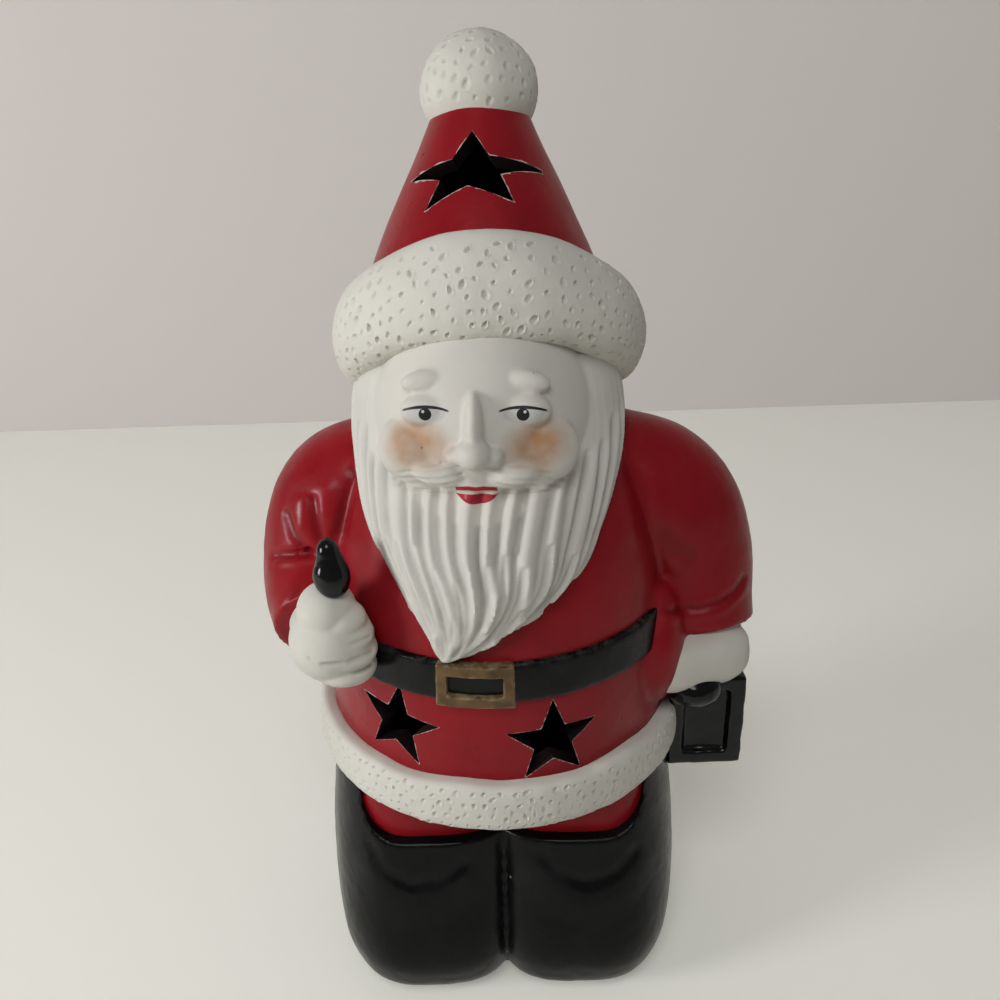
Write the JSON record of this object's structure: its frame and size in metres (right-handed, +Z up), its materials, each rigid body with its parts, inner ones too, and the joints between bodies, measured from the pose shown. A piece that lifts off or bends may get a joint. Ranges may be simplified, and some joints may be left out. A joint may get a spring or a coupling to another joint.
{
  "type": "santa tea light holder",
  "caption": "Hollow cast earthenware Santa figure that holds a tea light, with star cut-outs in the hat and coat, a lantern in one hand and an arched door in the back.",
  "frame": {"origin": "on the standing plane, under the figure's vertical axis, midway between the boots' outer sides", "axes": "+Z up; -Y the way the boots point, which is the front; +X towards the hand with the lantern"},
  "size_m": [0.1506, 0.1118, 0.2817],
  "materials": {
    "glazed_earthenware": "satin cold paint on fired earthenware"
  },
  "bodies": {
    "root": {"santa_body": "glazed_earthenware"}
  },
  "joints": []
}
